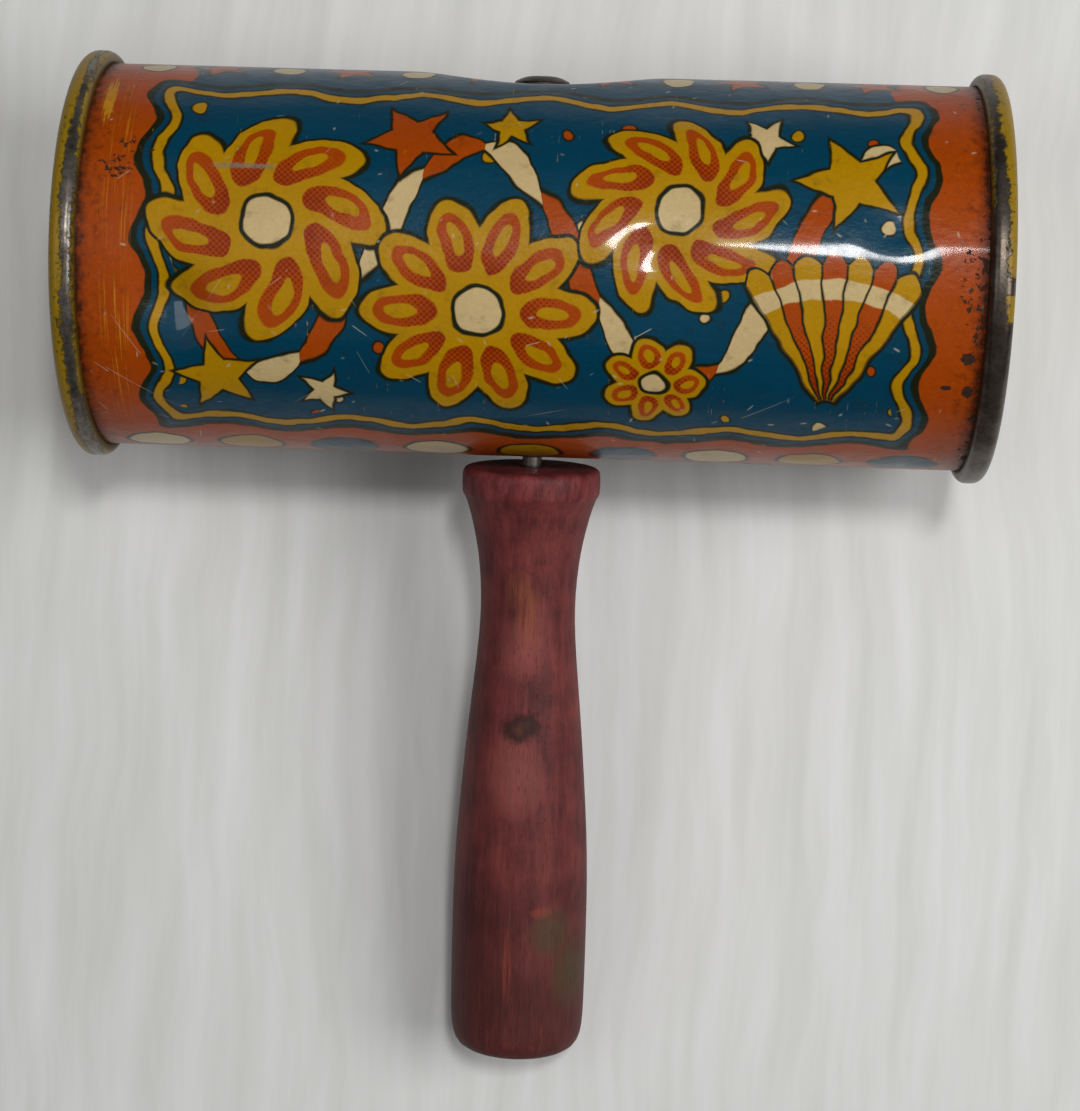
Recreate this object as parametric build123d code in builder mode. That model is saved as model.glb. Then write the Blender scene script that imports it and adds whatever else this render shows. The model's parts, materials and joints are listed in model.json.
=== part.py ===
from build123d import *
from math import asin, atan2, cos, degrees, hypot, radians, sin
import os

# A gragger: a closed tinplate can that spins on a nail driven into a turned
# wooden handle. Inside the can a toothed wheel is fixed to the nail, and two
# spring tongues on the end caps snap over its teeth as the can is swung round.
# It is modelled lying on a table, on its two rims and the butt of the handle.

# Can sleeve: rolled tinplate with its ends turned out.
can_length = 102.0
can_radius = 21.5
can_sheet = 0.3
flange_width = 0.5
lap_width = 5.0
lap_relief = 0.6

# End caps: stamped dishes with a curled rim that grips the sleeve's flange.
cap_sheet = 0.3
rim_overhang = 1.4
rim_width = 2.8
panel_recess = 3.0
curl_bevel = 0.42
seam_play = 0.05

# Axle nail: wire nail with a raised head.
nail_radius = 1.1
nail_length = 63.5
nail_head_radius = 3.1
nail_head_height = 1.0
nail_head_edge = 0.3
nail_crown_radius = 1.6
nail_point = 3.0

# Eyelets, and the dents that the nail's pull has left round them.
upper_dent = 1.7
lower_dent = 0.35
dent_slope = 0.17
dent_margin = 0.6
eyelet_wall = 0.3
eyelet_lip = 0.42
eyelet_lip_thickness = 0.35
lip_fit = 0.02

# Clearances: the nail turns in the eyelets and is driven into wheel and handle.
spin_clearance = 0.08
end_play = 0.2
drive_fit = 0.01
slip_fit = 0.05

# Handle: turned from a wooden dowel, with a collar, a waist and a barrel.
handle_gap = 1.3
handle_length = 69.0
collar_radius = 7.94
collar_height = 3.3
collar_edge = 0.5
collar_step = 0.45
waist_radius = 5.45
waist_length = 5.0
cove_length = 10.0
taper_length = 28.0
barrel_radius = 7.9
butt_round = 3.0

# Ratchet wheel and the spacer tubes that hold it at the middle of the nail.
tooth_count = 12
wheel_radius = 8.0
notch_depth = 2.2
notch_width = 3.4
wheel_thickness = 12.0
spacer_wall = 0.7

# Spring tongues: strips with a V nose that sits in a notch of the wheel.
tongue_thickness = 0.4
tongue_width = 10.0
tongue_gap = 0.5
nose_gap = 0.5
nose_bend = 0.5
tongue_tail = 3.0
hinge_gap = 0.1
foot_leg = 4.0
foot_height = 7.0
foot_bend = 0.9

# Stations along the can, from its middle, and radii that follow from the sheets.
can_end = can_length / 2
rim_radius = can_radius + rim_overhang
bore_radius = can_radius - can_sheet
chuck_radius = bore_radius - seam_play - cap_sheet
panel_face = can_end - panel_recess
panel_back = panel_face - cap_sheet
hook_face = can_end - rim_width
sleeve_end = hook_face + cap_sheet + seam_play + can_sheet

# Stations along the nail, from the can's axis: up is towards the nail's head.
eyelet_bore = nail_radius + spin_clearance
eyelet_barrel = eyelet_bore + eyelet_wall
eyelet_lip_radius = eyelet_barrel + eyelet_lip
dent_floor = eyelet_lip_radius + dent_margin
dent_spread = (upper_dent + can_sheet) / dent_slope
upper_seat = can_radius - upper_dent
lower_seat = -(can_radius - lower_dent)
lip_height = lip_fit + eyelet_lip_thickness
head_seat = upper_seat + lip_height + end_play
upper_spacer_end = upper_seat - can_sheet - lip_height - end_play
lower_spacer_end = lower_seat + can_sheet + lip_height + end_play
handle_top = -(can_radius + handle_gap)
handle_butt = handle_top - handle_length
nail_tip = head_seat - nail_length

# Butt of the handle: its round edge, in three steps along the arc.
butt = [
    (
        barrel_radius - butt_round * (1 - cos(radians(step))),
        handle_butt + butt_round * (1 - sin(radians(step))),
    )
    for step in (0, 30, 60, 90)
]

# Lean of the nail when the rims and the butt's edge touch the table, and the
# can's place that centres the whole object over the origin.
rest_radius, rest_height = butt[0]
lean = asin(rim_radius / hypot(rest_radius, rest_height)) - atan2(rest_radius, -rest_height)
butt_reach = max(radius * sin(lean) - height * cos(lean) for radius, height in butt)
can_centre = Vector(0, (butt_reach - rim_radius) / 2, rim_radius)

# Working planes: deck is square to the nail, face holds the nail and the can's
# axis and looks up from the table, end is square to the can.
nail_up = Vector(0, cos(lean), sin(lean))
face_up = Vector(0, -sin(lean), cos(lean))
deck = Plane(origin=can_centre, x_dir=(1, 0, 0), z_dir=nail_up)
face = Plane(origin=can_centre, x_dir=(1, 0, 0), z_dir=face_up)
end = Plane(origin=can_centre, x_dir=-face_up, z_dir=(1, 0, 0))
can_axis = Axis(can_centre, (1, 0, 0))
nail_axis = Axis(can_centre, nail_up)

os.makedirs("parts", exist_ok=True)

# Sleeve: the dented seats round the eyelets come first, trimmed to the middle of
# the sheet, then the rolled wall joins them and the dents and holes are opened.
with BuildPart() as sleeve:
    for seat, outward in ((upper_seat, 1), (lower_seat, -1)):
        brim = seat + outward * dent_spread * dent_slope
        with BuildSketch(face):
            with BuildLine():
                Polyline(
                    (0, seat - outward * can_sheet),
                    (dent_floor, seat - outward * can_sheet),
                    (dent_floor + dent_spread, brim - outward * can_sheet),
                    (dent_floor + dent_spread, brim),
                    (0, brim),
                    close=True,
                )
            make_face()
        revolve(axis=nail_axis)
    with BuildSketch(end):
        Circle(can_radius - can_sheet / 2)
    extrude(amount=hook_face, both=True, mode=Mode.INTERSECT)
    with BuildSketch(face):
        with BuildLine():
            Polyline(
                (-sleeve_end, can_radius + flange_width),
                (-sleeve_end, bore_radius),
                (sleeve_end, bore_radius),
                (sleeve_end, can_radius + flange_width),
                (sleeve_end - can_sheet, can_radius + flange_width),
                (sleeve_end - can_sheet, can_radius),
                (can_sheet - sleeve_end, can_radius),
                (can_sheet - sleeve_end, can_radius + flange_width),
                close=True,
            )
        make_face()
    revolve(axis=can_axis)
    for seat, outward in ((upper_seat, 1), (lower_seat, -1)):
        brim = seat + outward * dent_spread * dent_slope
        with BuildSketch(face):
            with BuildLine():
                Polyline((0, seat), (dent_floor, seat), (dent_floor + dent_spread, brim), (0, brim), close=True)
            make_face()
        revolve(axis=nail_axis, mode=Mode.SUBTRACT)
    with BuildSketch(deck):
        Circle(eyelet_barrel + drive_fit)
    extrude(amount=rim_radius, both=True, mode=Mode.SUBTRACT)
    # The long seam laps over itself on the side away from the face.
    with BuildSketch(end):
        Circle(can_radius + can_sheet)
        Circle(can_radius - can_sheet / 2, mode=Mode.SUBTRACT)
        with Locations((can_radius, 0)):
            Rectangle(can_radius, lap_width, mode=Mode.INTERSECT)
    extrude(amount=hook_face - lap_relief, both=True)
sleeve.part.label = "sleeve"
export_step(sleeve.part, "parts/sleeve.step")

# Eyelets: a barrel through the sheet with a lip turned over on each side.
for name, seat, outward in (("upper_eyelet", upper_seat, 1), ("lower_eyelet", lower_seat, -1)):
    with BuildPart() as eyelet:
        with BuildSketch(face):
            lip_out = seat + outward * lip_height
            lip_in = seat - outward * (can_sheet + lip_height)
            with Locations((eyelet_bore + eyelet_wall / 2, (lip_out + lip_in) / 2)):
                Rectangle(eyelet_wall, abs(lip_out - lip_in))
            for lip_edge, inward in ((lip_out, -outward), (lip_in, outward)):
                lip_middle = lip_edge + inward * eyelet_lip_thickness / 2
                with Locations(((eyelet_bore + eyelet_lip_radius) / 2, lip_middle)):
                    Rectangle(eyelet_lip_radius - eyelet_bore, eyelet_lip_thickness)
        revolve(axis=nail_axis)
    eyelet.part.label = name
    export_step(eyelet.part, f"parts/{name}.step")

# Axle nail: raised head, plain shank and a cone point inside the handle.
with BuildPart() as axle_nail:
    with BuildSketch(face):
        with BuildLine():
            Polyline(
                (0, head_seat + nail_head_height),
                (0, nail_tip),
                (nail_radius, nail_tip + nail_point),
                (nail_radius, head_seat),
                (nail_head_radius, head_seat),
                (nail_head_radius, head_seat + nail_head_edge),
                (nail_crown_radius, head_seat + nail_head_height),
                close=True,
            )
        make_face()
    revolve(axis=nail_axis)
axle_nail.part.label = "axle_nail"
export_step(axle_nail.part, "parts/axle_nail.step")

# Handle: one turned profile, from the collar under the can to the rounded butt,
# with a driven hole for the nail.
collar_foot = handle_top - collar_height
waist_top = collar_foot - cove_length
taper_top = waist_top - waist_length
barrel_top = taper_top - taper_length
cove_fall = collar_radius - collar_step - waist_radius
cove_radius = (cove_fall**2 + cove_length**2) / (2 * cove_fall)
cove_angle = asin(cove_length / cove_radius)
cove = [
    (waist_radius + cove_radius * (1 - cos(step)), waist_top + cove_radius * sin(step))
    for step in (cove_angle, cove_angle * 2 / 3, cove_angle / 3, 0)
]
with BuildPart() as handle:
    with BuildSketch(face):
        with BuildLine():
            Polyline(
                (0, handle_top),
                (collar_radius - collar_edge, handle_top),
                (collar_radius, handle_top - collar_edge),
                (collar_radius, collar_foot),
                *cove,
                (waist_radius, taper_top),
                (barrel_radius, barrel_top),
                *butt,
                (0, handle_butt),
                close=True,
            )
        make_face()
    revolve(axis=nail_axis)
    with BuildSketch(deck.offset(handle_top)):
        Circle(nail_radius + drive_fit)
    extrude(amount=nail_tip - handle_top - drive_fit, mode=Mode.SUBTRACT)
handle.part.label = "handle"
export_step(handle.part, "parts/handle.step")

# Ratchet wheel: a disc with V notches all round and a driven hole for the nail.
with BuildPart() as ratchet_wheel:
    with BuildSketch(deck):
        Circle(wheel_radius)
        with PolarLocations(0, tooth_count):
            Polygon(
                (wheel_radius - notch_depth, 0),
                (wheel_radius + notch_depth, -notch_width),
                (wheel_radius + notch_depth, notch_width),
                align=None,
                mode=Mode.SUBTRACT,
            )
        Circle(nail_radius + drive_fit, mode=Mode.SUBTRACT)
    extrude(amount=wheel_thickness / 2, both=True)
ratchet_wheel.part.label = "ratchet_wheel"
export_step(ratchet_wheel.part, "parts/ratchet_wheel.step")

# Spacers: rolled tubes on the nail between the wheel and each eyelet.
for name, outer_end, side in (("upper_spacer", upper_spacer_end, 1), ("lower_spacer", lower_spacer_end, -1)):
    with BuildPart() as spacer:
        inner_end = side * (wheel_thickness / 2 + drive_fit)
        with BuildSketch(deck.offset(inner_end)):
            Circle(nail_radius + slip_fit + spacer_wall)
            Circle(nail_radius + slip_fit, mode=Mode.SUBTRACT)
        extrude(amount=outer_end - inner_end)
    spacer.part.label = name
    export_step(spacer.part, f"parts/{name}.step")

# The left pieces are the right ones turned half round the nail.
tongue_line = wheel_radius + tongue_gap
nose_tip = wheel_radius - notch_depth + nose_gap
nose_half = (tongue_line - nose_tip) * (notch_width / 2) / notch_depth
bend_line = panel_back - foot_leg
for side, outward in (("right", Vector(1, 0, 0)), ("left", Vector(-1, 0, 0))):
    side_deck = Plane(origin=can_centre, x_dir=outward, z_dir=nail_up)
    side_face = Plane(origin=can_centre, x_dir=outward, z_dir=outward.cross(nail_up))

    # End cap: recessed panel, wall inside the sleeve, and a curl over its edge.
    with BuildPart() as end_cap:
        with BuildSketch(side_face):
            with BuildLine():
                Polyline(
                    (panel_face, 0),
                    (panel_face, chuck_radius),
                    (can_end, chuck_radius),
                    (can_end, rim_radius - curl_bevel),
                    (can_end - curl_bevel, rim_radius),
                    (hook_face, rim_radius),
                    (hook_face, can_radius + seam_play),
                    (hook_face + cap_sheet, can_radius + seam_play),
                    (hook_face + cap_sheet, rim_radius - cap_sheet),
                    (can_end - cap_sheet, rim_radius - cap_sheet),
                    (can_end - cap_sheet, chuck_radius + cap_sheet),
                    (panel_back, chuck_radius + cap_sheet),
                    (panel_back, 0),
                    close=True,
                )
            make_face()
        revolve(axis=can_axis)
    end_cap.part.label = f"{side}_end_cap"
    export_step(end_cap.part, f"parts/{side}_end_cap.step")

    # Tongue foot: angle strip welded to the back of the end panel.
    with BuildPart() as tongue_foot:
        with BuildSketch(side_deck.offset(-tongue_width / 2)):
            with BuildLine():
                FilletPolyline(
                    (panel_back, tongue_line + foot_height),
                    (panel_back, tongue_line),
                    (bend_line, tongue_line),
                    radius=foot_bend,
                )
                offset(amount=tongue_thickness, side=Side.RIGHT)
            make_face()
        extrude(amount=tongue_width)
    tongue_foot.part.label = f"{side}_tongue_foot"
    export_step(tongue_foot.part, f"parts/{side}_tongue_foot.step")

    # Tongue: flat strip from the foot to the wheel, with the V nose at its end.
    with BuildPart() as tongue:
        with BuildSketch(side_deck.offset(-tongue_width / 2)):
            with BuildLine():
                FilletPolyline(
                    (bend_line - hinge_gap, tongue_line),
                    (nose_half, tongue_line),
                    (0, nose_tip),
                    (-nose_half, tongue_line),
                    (-nose_half - tongue_tail, tongue_line),
                    radius=nose_bend,
                )
                offset(amount=tongue_thickness, side=Side.RIGHT)
            make_face()
        extrude(amount=tongue_width)
    tongue.part.label = f"{side}_tongue"
    export_step(tongue.part, f"parts/{side}_tongue.step")

print(f"lean {degrees(lean):.3f} deg, can centre {tuple(can_centre)}")
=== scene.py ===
import json
from math import atan2, cos, exp, hypot, pi, radians, sin, sqrt, tau

import bmesh
import bpy
from mathutils import Matrix, Vector


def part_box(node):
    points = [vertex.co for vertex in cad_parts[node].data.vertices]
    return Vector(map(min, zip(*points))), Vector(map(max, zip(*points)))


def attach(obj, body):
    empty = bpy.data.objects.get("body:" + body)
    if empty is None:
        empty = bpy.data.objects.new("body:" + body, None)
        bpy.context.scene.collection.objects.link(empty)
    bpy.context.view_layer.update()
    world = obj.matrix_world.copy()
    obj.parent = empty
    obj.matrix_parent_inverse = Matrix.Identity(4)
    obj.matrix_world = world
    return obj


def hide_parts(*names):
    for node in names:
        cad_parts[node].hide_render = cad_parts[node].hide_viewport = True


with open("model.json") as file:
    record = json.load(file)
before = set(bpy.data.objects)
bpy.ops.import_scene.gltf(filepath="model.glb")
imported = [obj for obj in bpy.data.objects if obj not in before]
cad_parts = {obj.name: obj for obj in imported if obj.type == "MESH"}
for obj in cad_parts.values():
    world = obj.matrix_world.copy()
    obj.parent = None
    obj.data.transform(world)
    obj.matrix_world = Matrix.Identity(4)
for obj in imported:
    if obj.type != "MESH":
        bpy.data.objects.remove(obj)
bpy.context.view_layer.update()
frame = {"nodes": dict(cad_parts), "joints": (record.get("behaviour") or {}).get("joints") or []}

# Sleeve of the can: tinplate printed flat in six inks, rolled round and lapped
# on the side away from the face, with its ends turned out for the caps to grip.
# The nail's pull and years of play have dented it.
millimetre = 0.001
sleeve_low, sleeve_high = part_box("sleeve")
can_middle = (sleeve_low + sleeve_high) / 2
spin_joint = next(joint for joint in frame["joints"] if joint["name"] == "handle_spin")
nail_up = Vector(spin_joint["axis"]).normalized()
can_along = Vector((1, 0, 0))
face_out = can_along.cross(nail_up)
can_lean = Vector((0, 0, 1)).angle(face_out)
can_place = Matrix.Translation(can_middle) @ Matrix.Rotation(can_lean, 4, "X") @ Matrix.Scale(millimetre, 4)

can_radius = 21.5
sheet = 0.3
sleeve_half = 48.55
flange_half = 48.85
flange_radius = 22.0
lap_half = 2.5
lap_reach = 47.6
lap_ramp = 1.0
lap_lip = 0.08
sleeve_round_steps = 192
sleeve_long_cuts = 131
nail_hole = 1.1
dent_floor = 2.5
dent_slope = 0.17
upper_seat = 19.8
upper_blend = 0.35
lower_seat = 21.15
lower_blend = 0.2
sharp_fold = radians(38)

# Dents: place along the can, angle up from the face in degrees, half sizes along and
# round, depth.
dents = (
    (-38.3, -9, 3.4, 3.8, 1.95),
    (-37.0, 28, 7.0, 4.0, 0.22),
    (-14.0, 10, 9.0, 8.0, 0.20),
    (13.2, 9, 3.0, 2.4, 0.50),
    (20.0, -8, 9.0, 6.0, 0.28),
    (38.7, 17, 2.6, 2.0, 0.42),
    (1.0, -30, 12.0, 6.0, 0.22),
    (33.0, -22, 8.0, 6.0, 0.25),
    (30.0, 30, 9.0, 5.0, 0.20),
    (-20.0, 48, 8.0, 5.0, 0.35),
    (16.0, 62, 10.0, 5.0, 0.40),
    (-28.0, 160, 9.0, 7.0, 0.40),
    (24.0, 205, 7.0, 8.0, 0.35),
)


def soft_least(a, b, blend):
    """The lower of two heights, with the corner between them eased."""
    overlap = max(blend - abs(a - b), 0) / blend
    return min(a, b) - overlap * overlap * blend / 4


def made_piece(name, mesh, material, body, slot, *nodes):
    """Seats a finished mesh in the can's place, as one piece that stands for its CAD nodes."""
    bmesh.ops.remove_doubles(mesh, verts=mesh.verts, dist=1e-4)
    bmesh.ops.recalc_face_normals(mesh, faces=mesh.faces)
    if mesh.calc_volume(signed=True) < 0:
        bmesh.ops.reverse_faces(mesh, faces=mesh.faces)
    bmesh.ops.transform(mesh, matrix=can_place, verts=mesh.verts)
    data = bpy.data.meshes.new(name)
    mesh.to_mesh(data)
    mesh.free()
    data.materials.append(material)
    data.shade_smooth()
    data.set_sharp_from_angle(angle=sharp_fold)
    piece = bpy.data.objects.new(name, data)
    bpy.context.scene.collection.objects.link(piece)
    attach(piece, body)
    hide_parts(*nodes)
    return piece


def sheet_wall(piece, thickness):
    """Gives a single skin the thickness of its sheet, inwards."""
    wall = piece.modifiers.new("sheet", "SOLIDIFY")
    wall.thickness = thickness * millimetre
    wall.offset = -1
    wall.use_even_offset = True


class Reading:
    """A value that changes over a surface, held by one socket of a shader tree."""

    def __init__(self, tree, socket):
        self.tree = tree
        self.socket = socket

    def __add__(self, other):
        return reckon("ADD", self, other)

    __radd__ = __add__

    def __sub__(self, other):
        return reckon("SUBTRACT", self, other)

    def __rsub__(self, other):
        return reckon("SUBTRACT", other, self)

    def __mul__(self, other):
        return reckon("MULTIPLY", self, other)

    __rmul__ = __mul__

    def __truediv__(self, other):
        return reckon("DIVIDE", self, other)

    def __rtruediv__(self, other):
        return reckon("DIVIDE", other, self)

    def __abs__(self):
        return reckon("ABSOLUTE", self)

    def __lt__(self, other):
        return reckon("LESS_THAN", self, other)

    def __gt__(self, other):
        return reckon("GREATER_THAN", self, other)


def feed(tree, value, socket):
    if isinstance(value, Reading):
        tree.links.new(value.socket, socket)
    else:
        socket.default_value = value


def reckon(operation, *values):
    tree = next(value.tree for value in values if isinstance(value, Reading))
    node = tree.nodes.new("ShaderNodeMath")
    node.operation = operation
    for value, socket in zip(values, node.inputs):
        feed(tree, value, socket)
    return Reading(tree, node.outputs[0])


def ease(value, low, high, start=0.0, end=1.0):
    """Straight change from start to end while the value goes from low to high."""
    node = value.tree.nodes.new("ShaderNodeMapRange")
    for number, socket in zip((value, low, high, start, end), node.inputs):
        feed(value.tree, number, socket)
    return Reading(value.tree, node.outputs[0])


def inked(distance, width=0.0, blur=0.09):
    """One inside a drawn shape, with the slightly soft edge of printed ink."""
    return ease(distance - width, blur, -blur)


def lay(under, over, mask):
    """One colour laid over another where the mask says."""
    tree = mask.tree
    node = tree.nodes.new("ShaderNodeMix")
    node.data_type = "RGBA"
    feed(tree, mask, node.inputs[0])
    feed(tree, under, node.inputs[6])
    feed(tree, over, node.inputs[7])
    return Reading(tree, node.outputs[2])


def shaded(colour, amount):
    """A colour made lighter or darker by a value about one."""
    node = colour.tree.nodes.new("ShaderNodeVectorMath")
    node.operation = "SCALE"
    feed(colour.tree, colour, node.inputs[0])
    feed(colour.tree, amount, node.inputs["Scale"])
    return Reading(colour.tree, node.outputs[0])


def parts(point):
    node = point.tree.nodes.new("ShaderNodeSeparateXYZ")
    feed(point.tree, point, node.inputs[0])
    return [Reading(point.tree, socket) for socket in node.outputs]


def joined(*values):
    tree = next(value.tree for value in values if isinstance(value, Reading))
    node = tree.nodes.new("ShaderNodeCombineXYZ")
    for value, socket in zip(values, node.inputs):
        feed(tree, value, socket)
    return Reading(tree, node.outputs[0])


def stretched(point, along, up, out):
    """The same place measured with a different rule along each of its three ways."""
    node = point.tree.nodes.new("ShaderNodeVectorMath")
    node.operation = "MULTIPLY"
    feed(point.tree, point, node.inputs[0])
    node.inputs[1].default_value = (along, up, out)
    return Reading(point.tree, node.outputs[0])


def mottle(point, scale, detail=2.0, roughness=0.5, part="Fac"):
    node = point.tree.nodes.new("ShaderNodeTexNoise")
    feed(point.tree, point, node.inputs["Vector"])
    node.inputs["Scale"].default_value = scale
    node.inputs["Detail"].default_value = detail
    node.inputs["Roughness"].default_value = roughness
    return Reading(point.tree, node.outputs[part])


def scattered(point, cell, looseness=1.0):
    """Nearest of many strewn spots: the way to it and three chance numbers of its own."""
    node = point.tree.nodes.new("ShaderNodeTexVoronoi")
    node.voronoi_dimensions = "2D"
    feed(point.tree, point, node.inputs["Vector"])
    node.inputs["Scale"].default_value = 1 / cell
    node.inputs["Randomness"].default_value = looseness
    gap = point.tree.nodes.new("ShaderNodeVectorMath")
    gap.operation = "SUBTRACT"
    feed(point.tree, point, gap.inputs[0])
    point.tree.links.new(node.outputs["Position"], gap.inputs[1])
    across, up, _ = parts(Reading(point.tree, gap.outputs[0]))
    return across, up, parts(Reading(point.tree, node.outputs["Color"]))


def shader_group(name, takes, gives):
    tree = bpy.data.node_groups.new(name, "ShaderNodeTree")
    for label, kind in takes.items():
        tree.interface.new_socket(label, in_out="INPUT", socket_type="NodeSocket" + kind)
    for label, kind in gives.items():
        tree.interface.new_socket(label, in_out="OUTPUT", socket_type="NodeSocket" + kind)
    entry = tree.nodes.new("NodeGroupInput")
    leave = tree.nodes.new("NodeGroupOutput")
    return tree, [Reading(tree, entry.outputs[label]) for label in takes], leave.inputs


def placed(tree, group, **values):
    node = tree.nodes.new("ShaderNodeGroup")
    node.node_tree = group
    for label, value in values.items():
        feed(tree, value, node.inputs[label])
    return [Reading(tree, socket) for socket in node.outputs]


def paint(red, green, blue):
    """A colour as the eye reads it, 0 to 255, turned to the light values of the shader."""
    light = [c / 255 for c in (red, green, blue)]
    return (*(c / 12.92 if c < 0.04045 else ((c + 0.055) / 1.055) ** 2.4 for c in light), 1.0)


def finish_of(name):
    """A new material: its tree, its shader, and the can's own measure of each point, in mm."""
    material = bpy.data.materials.new(name)
    material.use_nodes = True
    tree = material.node_tree
    shader = tree.nodes["Principled BSDF"]
    place = tree.nodes.new("ShaderNodeTexCoord")
    ruler = tree.nodes.new("ShaderNodeMapping")
    ruler.vector_type = "TEXTURE"
    ruler.inputs["Location"].default_value = can_middle
    ruler.inputs["Rotation"].default_value = (can_lean, 0, 0)
    ruler.inputs["Scale"].default_value = (millimetre,) * 3
    tree.links.new(place.outputs["Object"], ruler.inputs["Vector"])
    return material, tree, shader, Reading(tree, ruler.outputs[0])


def raised(tree, shader, height, depth):
    """Feeds a height, in parts of a depth in mm, to the shader as bump."""
    node = tree.nodes.new("ShaderNodeBump")
    node.inputs["Strength"].default_value = 1.0
    node.inputs["Distance"].default_value = depth * millimetre
    feed(tree, height, node.inputs["Height"])
    tree.links.new(node.outputs["Normal"], shader.inputs["Normal"])


# Inks of the print, and the drawn motifs, each a group that is placed several times.
orange_ink = paint(154, 62, 2)
deep_orange_ink = paint(124, 38, 0)
yellow_ink = paint(166, 122, 0)
teal_ink = paint(0, 56, 78)
key_ink = paint(24, 28, 10)
cream_ink = paint(190, 166, 118)

# Rosette: folded-paper petals round a button, straight or twisted like a pinwheel.
rosette, (here, middle, size, petals, twist), gives = shader_group(
    "printed_rosette",
    {"Here": "Vector", "Middle": "Vector", "Size": "Float", "Petals": "Float", "Twist": "Float"},
    {"Line": "Float", "Petal": "Float", "Cell": "Float", "Eye": "Float", "Button": "Float", "Shade": "Float"},
)
here_x, here_y, _ = parts(here)
middle_x, middle_y, _ = parts(middle)
off_x = here_x - middle_x
off_y = here_y - middle_y
reach = reckon("SQRT", off_x * off_x + off_y * off_y)
turn = reckon("ARCTAN2", off_y, off_x) + twist * reach / size
pitch = tau / petals
fold = reckon("WRAP", turn, pitch * 0.5, pitch * -0.5)
petal_x = reach * reckon("COSINE", fold)
petal_y = abs(reach * reckon("SINE", fold))
half_width = size * reckon("SINE", pitch * 0.5) * 0.72


def petal_ring(start, end, width):
    """Distance to a leaf shape that lies along one petal, from start to end of its length."""
    long_half = size * ((end - start) / 2)
    wide_half = half_width * width
    along = (petal_x - size * ((start + end) / 2)) / long_half
    across = petal_y / wide_half
    bulge = reckon("SQRT", along * along + across * across)
    steep_x = along / long_half
    steep_y = across / wide_half
    return bulge * (bulge - 1) / reckon("SQRT", steep_x * steep_x + steep_y * steep_y)


leaf = petal_ring(0.05, 1.0, 1.02)
line = inked(leaf, 0.46)
petal = inked(leaf)
cell = inked(petal_ring(0.34, 0.88, 0.62))
eye = inked(petal_ring(0.50, 0.78, 0.26))
button_edge = reach - size * 0.20
feed(rosette, reckon("MAXIMUM", line, inked(button_edge, 0.5)), gives["Line"])
feed(rosette, petal * (1 - inked(button_edge, 0.5)), gives["Petal"])
feed(rosette, cell * (1 - inked(button_edge, 0.5)), gives["Cell"])
feed(rosette, eye, gives["Eye"])
feed(rosette, inked(button_edge), gives["Button"])
feed(rosette, ease(reach / size, 0.25, 0.85, 1.0, 0.0), gives["Shade"])

# Fan: pleats spread from a pivot, with a scalloped edge and a plain band inside it.
fan, (here, middle, size, spread, pleats), gives = shader_group(
    "printed_fan",
    {"Here": "Vector", "Middle": "Vector", "Size": "Float", "Spread": "Float", "Pleats": "Float"},
    {"Line": "Float", "Leaf": "Float", "Pleat": "Float", "Band": "Float", "Shade": "Float"},
)
here_x, here_y, _ = parts(here)
middle_x, middle_y, _ = parts(middle)
off_x = here_x - middle_x
off_y = here_y - middle_y
reach = reckon("SQRT", off_x * off_x + off_y * off_y)
swing = reckon("ARCTAN2", off_x, off_y)
pleat_turn = swing / spread * pleats * 0.5
scallop = abs(reckon("COSINE", pleat_turn * pi))
edge = reach - size * (0.93 + 0.07 * scallop)
side = (abs(swing) - spread) * reach
outline = reckon("MAXIMUM", edge, side)
outline = reckon("MAXIMUM", outline, size * 0.10 - reach)
fold_line = abs(reckon("WRAP", pleat_turn, 0.5, -0.5)) - 0.5
fold_line = abs(fold_line) * reach * spread * 2 / pleats - 0.14
leaf = inked(outline)
feed(fan, reckon("MAXIMUM", inked(outline, 0.42) - leaf, inked(fold_line) * leaf), gives["Line"])
feed(fan, leaf, gives["Leaf"])
feed(fan, leaf * (reckon("FLOORED_MODULO", pleat_turn + 0.5, 2.0) < 1.0), gives["Pleat"])
feed(fan, leaf * inked(abs(reach - size * 0.80) - size * 0.055), gives["Band"])
feed(fan, ease(reach / size, 0.15, 0.75, 1.0, 0.0), gives["Shade"])

# Star: five points, plain, with its outline.
star, (here, middle, size, turn), gives = shader_group(
    "printed_star",
    {"Here": "Vector", "Middle": "Vector", "Size": "Float", "Turn": "Float"},
    {"Line": "Float", "Star": "Float"},
)
here_x, here_y, _ = parts(here)
middle_x, middle_y, _ = parts(middle)
off_x = here_x - middle_x
off_y = here_y - middle_y
reach = reckon("SQRT", off_x * off_x + off_y * off_y)
fold = reckon("WRAP", reckon("ARCTAN2", off_x, off_y) + turn, tau / 10, -tau / 10)
point_x = reach * reckon("COSINE", fold)
point_y = abs(reach * reckon("SINE", fold))
inner = 0.45
notch_x, notch_y = inner * cos(tau / 10), inner * sin(tau / 10)
flank = hypot(1 - notch_x, notch_y)
edge = (point_x - size) * (notch_y / flank) + point_y * ((1 - notch_x) / flank)
feed(star, inked(edge, 0.36), gives["Line"])
feed(star, inked(edge), gives["Star"])

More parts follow.
